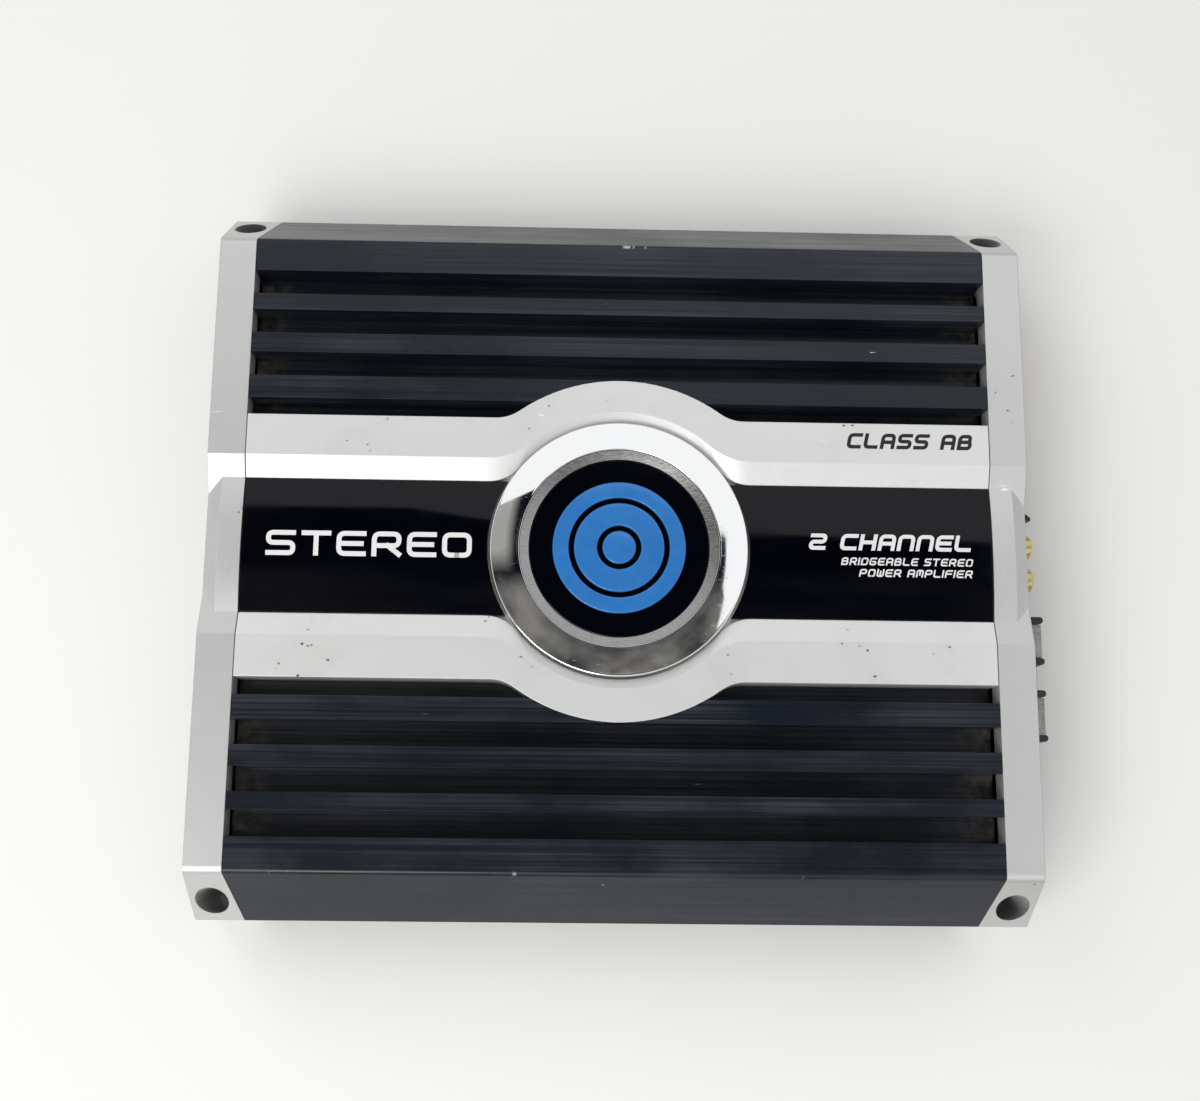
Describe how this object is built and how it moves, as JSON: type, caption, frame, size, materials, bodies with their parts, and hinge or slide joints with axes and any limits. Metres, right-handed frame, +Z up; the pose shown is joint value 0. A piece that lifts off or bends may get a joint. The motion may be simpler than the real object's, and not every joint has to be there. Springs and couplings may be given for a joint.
{
  "type": "car amplifier",
  "caption": "Car audio amplifier: finned heatsink case with silver end caps, badge ring and a connector end with fuses, knobs, line jacks and screw terminals.",
  "frame": {"origin": "centre of the four mounting holes, on the surface the case stands on", "axes": "+X along the case towards the connector end, +Y towards the back, +Z up"},
  "size_m": [0.295, 0.254, 0.0573],
  "materials": {
    "black_anodised": "black anodised extrusion, brushed along its length",
    "silver_paint": "fine metallic silver paint with scuffs",
    "gloss_black": "gloss black moulding",
    "chrome_plate": "bright plating with hairline scratches",
    "brushed_bevel": "brushed bevel",
    "disc_black": "gloss black disc",
    "blue_enamel": "smooth blue enamel",
    "plate_black": "satin black powder coat",
    "panel_black": "satin black paint",
    "black_screws": "black oxide steel",
    "zinc_screws": "zinc plated steel",
    "gold_plate": "gold flash plating",
    "moulded_black": "matte moulded plastic",
    "pot_housing": "moulded housing",
    "lever_black": "matte moulded plastic",
    "knob_black": "satin moulded plastic",
    "terminal_nickel": "dull nickel plate, tarnished",
    "terminal_screws": "nickel plated steel",
    "board_green": "solder resist",
    "fish_paper": "insulating sheet",
    "ferrite": "painted ferrite",
    "copper_wire": "enamelled copper winding",
    "capacitor_sleeve": "printed sleeve",
    "chip_black": "moulded epoxy",
    "plain_aluminium": "mill finish",
    "lamp_green": "clear tinted lens",
    "lamp_red": "clear tinted lens",
    "fuse_amber": "tinted translucent plastic",
    "tinned_blades": "tinned zinc alloy"
  },
  "bodies": {
    "case": {"heatsink": "black_anodised", "left_end_cap": "silver_paint", "right_end_cap": "silver_paint", "trim_cover": "silver_paint", "gloss_panel_left": "gloss_black", "gloss_panel_right": "gloss_black", "chrome_ring": "chrome_plate", "badge_carrier": "brushed_bevel", "badge_disc": "disc_black", "badge_emblem": "blue_enamel", "bottom_plate": "plate_black", "bottom_plate_screws": "black_screws", "end_cap_screws": "black_screws", "trim_screws": "zinc_screws", "connector_panel": "panel_black", "panel_screws": "black_screws", "rca_block": "moulded_black", "rca_shells": "gold_plate", "rca_contacts": "gold_plate", "power_block": "moulded_black", "speaker_block": "moulded_black", "fuse_holder": "moulded_black", "potentiometers": "pot_housing", "switch_body": "pot_housing", "circuit_board": "board_green", "insulating_sheet": "fish_paper", "toroid_core": "ferrite", "toroid_winding": "copper_wire", "supply_capacitors": "capacitor_sleeve", "output_inductors": "copper_wire", "power_transistors": "chip_black", "transistor_insulators": "fish_paper", "transistor_clamp_bars": "plain_aluminium", "clamp_bar_screws": "zinc_screws", "board_screws": "zinc_screws", "control_chips": "chip_black", "power_lamp": "lamp_green", "protect_lamp": "lamp_red"},
    "gain_knob": {"gain_knob": "knob_black"},
    "bass_knob": {"bass_knob": "knob_black"},
    "low_pass_knob": {"low_pass_knob": "knob_black"},
    "switch_lever": {"switch_lever": "lever_black"},
    "fuse_a": {"fuse_a": "fuse_amber", "fuse_a_blades": "tinned_blades"},
    "fuse_b": {"fuse_b": "fuse_amber", "fuse_b_blades": "tinned_blades"},
    "ground_clamp": {"ground_clamp": "terminal_nickel"},
    "ground_screw": {"ground_screw": "terminal_screws"},
    "remote_clamp": {"remote_clamp": "terminal_nickel"},
    "remote_screw": {"remote_screw": "terminal_screws"},
    "battery_clamp": {"battery_clamp": "terminal_nickel"},
    "battery_screw": {"battery_screw": "terminal_screws"},
    "left_plus_clamp": {"left_plus_clamp": "terminal_nickel"},
    "left_plus_screw": {"left_plus_screw": "terminal_screws"},
    "left_minus_clamp": {"left_minus_clamp": "terminal_nickel"},
    "left_minus_screw": {"left_minus_screw": "terminal_screws"},
    "right_minus_clamp": {"right_minus_clamp": "terminal_nickel"},
    "right_minus_screw": {"right_minus_screw": "terminal_screws"},
    "right_plus_clamp": {"right_plus_clamp": "terminal_nickel"},
    "right_plus_screw": {"right_plus_screw": "terminal_screws"}
  },
  "joints": [
    {"name": "low_pass_knob_turn", "type": "hinge", "parent": "case", "child": "low_pass_knob", "pos_m": [0.1435, 0.0305, 0.028], "axis": [1, 0, 0], "range_deg": [-140, 140]},
    {"name": "bass_knob_turn", "type": "hinge", "parent": "case", "child": "bass_knob", "pos_m": [0.1435, 0.0435, 0.028], "axis": [1, 0, 0], "range_deg": [-140, 140]},
    {"name": "gain_knob_turn", "type": "hinge", "parent": "case", "child": "gain_knob", "pos_m": [0.1435, 0.0565, 0.028], "axis": [1, 0, 0], "range_deg": [-140, 140]},
    {"name": "switch_slide", "type": "slide", "parent": "case", "child": "switch_lever", "axis": [0, 0, 1], "range_m": [-0.0024, 0.0024]},
    {"name": "fuse_a_pull", "type": "slide", "parent": "case", "child": "fuse_a", "axis": [1, 0, 0], "range_m": [0, 0.022]},
    {"name": "fuse_b_pull", "type": "slide", "parent": "case", "child": "fuse_b", "axis": [1, 0, 0], "range_m": [0, 0.022]},
    {"name": "ground_clamp_slide", "type": "slide", "parent": "case", "child": "ground_clamp", "axis": [1, 0, 0], "range_m": [0, 0.0042]},
    {"name": "ground_screw_turn", "type": "hinge", "parent": "ground_clamp", "child": "ground_screw", "pos_m": [0.1445, -0.02775, 0.0273], "axis": [1, 0, 0], "range_deg": [0, 2160]},
    {"name": "remote_clamp_slide", "type": "slide", "parent": "case", "child": "remote_clamp", "axis": [1, 0, 0], "range_m": [0, 0.0042]},
    {"name": "remote_screw_turn", "type": "hinge", "parent": "remote_clamp", "child": "remote_screw", "pos_m": [0.1445, -0.0408, 0.0273], "axis": [1, 0, 0], "range_deg": [0, 2160]},
    {"name": "battery_clamp_slide", "type": "slide", "parent": "case", "child": "battery_clamp", "axis": [1, 0, 0], "range_m": [0, 0.0042]},
    {"name": "battery_screw_turn", "type": "hinge", "parent": "battery_clamp", "child": "battery_screw", "pos_m": [0.1445, -0.05435, 0.0273], "axis": [1, 0, 0], "range_deg": [0, 2160]},
    {"name": "left_plus_clamp_slide", "type": "slide", "parent": "case", "child": "left_plus_clamp", "axis": [1, 0, 0], "range_m": [0, 0.0042]},
    {"name": "left_plus_screw_turn", "type": "hinge", "parent": "left_plus_clamp", "child": "left_plus_screw", "pos_m": [0.1445, -0.0699, 0.027], "axis": [1, 0, 0], "range_deg": [0, 2160]},
    {"name": "left_minus_clamp_slide", "type": "slide", "parent": "case", "child": "left_minus_clamp", "axis": [1, 0, 0], "range_m": [0, 0.0042]},
    {"name": "left_minus_screw_turn", "type": "hinge", "parent": "left_minus_clamp", "child": "left_minus_screw", "pos_m": [0.1445, -0.0769, 0.027], "axis": [1, 0, 0], "range_deg": [0, 2160]},
    {"name": "right_minus_clamp_slide", "type": "slide", "parent": "case", "child": "right_minus_clamp", "axis": [1, 0, 0], "range_m": [0, 0.0042]},
    {"name": "right_minus_screw_turn", "type": "hinge", "parent": "right_minus_clamp", "child": "right_minus_screw", "pos_m": [0.1445, -0.0839, 0.027], "axis": [1, 0, 0], "range_deg": [0, 2160]},
    {"name": "right_plus_clamp_slide", "type": "slide", "parent": "case", "child": "right_plus_clamp", "axis": [1, 0, 0], "range_m": [0, 0.0042]},
    {"name": "right_plus_screw_turn", "type": "hinge", "parent": "right_plus_clamp", "child": "right_plus_screw", "pos_m": [0.1445, -0.0909, 0.027], "axis": [1, 0, 0], "range_deg": [0, 2160]}
  ],
  "couplings": [
    {"joint": "ground_screw_turn", "follows": "ground_clamp_slide", "rad_per_m": 8975.9},
    {"joint": "remote_screw_turn", "follows": "remote_clamp_slide", "rad_per_m": 8975.9},
    {"joint": "battery_screw_turn", "follows": "battery_clamp_slide", "rad_per_m": 8975.9},
    {"joint": "left_plus_screw_turn", "follows": "left_plus_clamp_slide", "rad_per_m": 8975.9},
    {"joint": "left_minus_screw_turn", "follows": "left_minus_clamp_slide", "rad_per_m": 8975.9},
    {"joint": "right_minus_screw_turn", "follows": "right_minus_clamp_slide", "rad_per_m": 8975.9},
    {"joint": "right_plus_screw_turn", "follows": "right_plus_clamp_slide", "rad_per_m": 8975.9}
  ]
}
